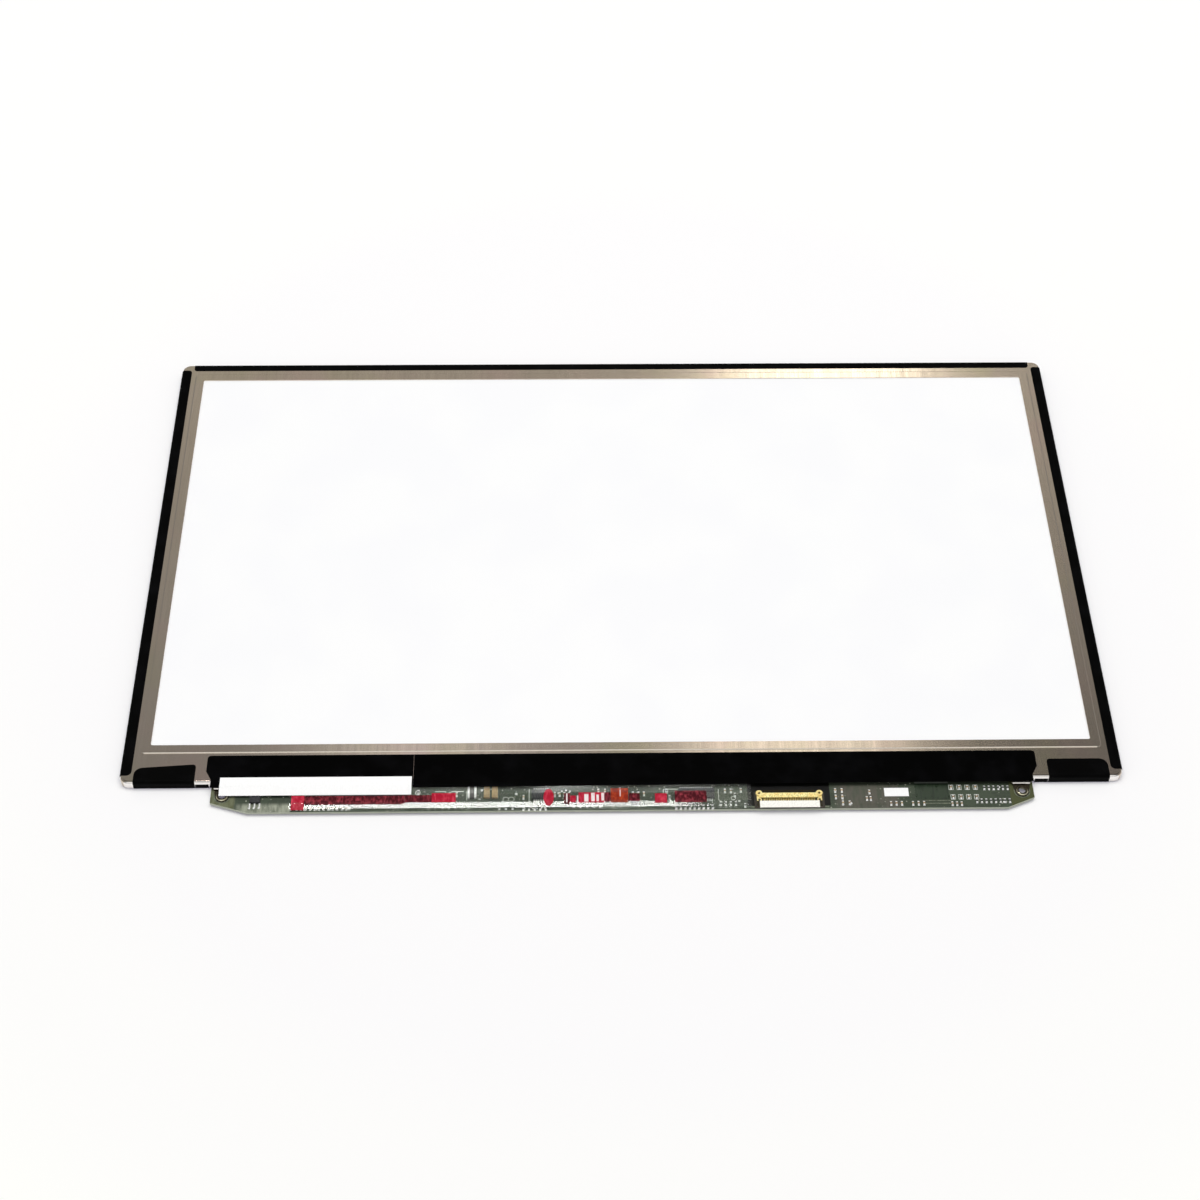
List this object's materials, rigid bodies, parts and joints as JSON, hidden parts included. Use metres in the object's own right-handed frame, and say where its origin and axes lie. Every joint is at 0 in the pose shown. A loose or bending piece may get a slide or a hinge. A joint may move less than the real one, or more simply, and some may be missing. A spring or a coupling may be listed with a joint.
{
  "type": "laptop screen panel",
  "caption": "Flat display panel for a laptop, seen from behind: stamped steel rear cover round a white reflector, edge tapes and a narrow driver board along one side.",
  "frame": {"origin": "middle of the footprint, on the front face of the screen", "axes": "+Z out of the rear of the panel, +X along its width, +Y from the driver board towards the top edge"},
  "size_m": [0.2902, 0.183, 0.0031],
  "materials": {
    "rear_cover": "satin",
    "guide_frame": "matte",
    "reflector_sheet": "smooth",
    "light_guide": "clear",
    "led_strip": "matte",
    "led_packages": "smooth",
    "diffuser_sheet": "matte",
    "lower_prism_sheet": "ribbed",
    "upper_prism_sheet": "ribbed",
    "rim_tape": "matte",
    "lower_polarizer": "smooth",
    "rear_glass": "clear",
    "front_glass": "clear",
    "upper_polarizer": "anti-glare",
    "driver_films": "satin",
    "driver_chips": "smooth",
    "driver_board": "solder mask",
    "connector_housing": "matte",
    "connector_shell": "gold plated",
    "connector_contacts": "gold plated",
    "timing_controller": "moulded",
    "timing_controller_leads": "tinned",
    "backlight_driver": "moulded",
    "backlight_driver_leads": "tinned",
    "memory_chip": "moulded",
    "memory_chip_leads": "tinned",
    "power_capacitors": "moulded",
    "choke": "moulded",
    "chip_capacitors": "fired ceramic",
    "chip_resistors": "coated",
    "chip_terminals": "tinned",
    "clear_film": "clear film",
    "wide_tape_left": "matte",
    "wide_tape_right": "matte",
    "left_edge_tape": "matte",
    "right_edge_tape": "matte",
    "top_edge_tape": "matte",
    "left_corner_patch": "matte",
    "right_corner_patch": "matte",
    "rear_label": "paper label",
    "board_label": "paper label"
  },
  "bodies": {
    "root": {"rear_cover": "rear_cover", "guide_frame": "guide_frame", "reflector_sheet": "reflector_sheet", "light_guide": "light_guide", "led_strip": "led_strip", "led_packages": "led_packages", "diffuser_sheet": "diffuser_sheet", "lower_prism_sheet": "lower_prism_sheet", "upper_prism_sheet": "upper_prism_sheet", "rim_tape": "rim_tape", "lower_polarizer": "lower_polarizer", "rear_glass": "rear_glass", "front_glass": "front_glass", "upper_polarizer": "upper_polarizer", "driver_films": "driver_films", "driver_chips": "driver_chips", "driver_board": "driver_board", "connector_housing": "connector_housing", "connector_shell": "connector_shell", "connector_contacts": "connector_contacts", "timing_controller": "timing_controller", "timing_controller_leads": "timing_controller_leads", "backlight_driver": "backlight_driver", "backlight_driver_leads": "backlight_driver_leads", "memory_chip": "memory_chip", "memory_chip_leads": "memory_chip_leads", "power_capacitors": "power_capacitors", "choke": "choke", "chip_capacitors": "chip_capacitors", "chip_resistors": "chip_resistors", "chip_terminals": "chip_terminals", "clear_film": "clear_film", "wide_tape_left": "wide_tape_left", "wide_tape_right": "wide_tape_right", "left_edge_tape": "left_edge_tape", "right_edge_tape": "right_edge_tape", "top_edge_tape": "top_edge_tape", "left_corner_patch": "left_corner_patch", "right_corner_patch": "right_corner_patch", "rear_label": "rear_label", "board_label": "board_label"}
  },
  "joints": []
}
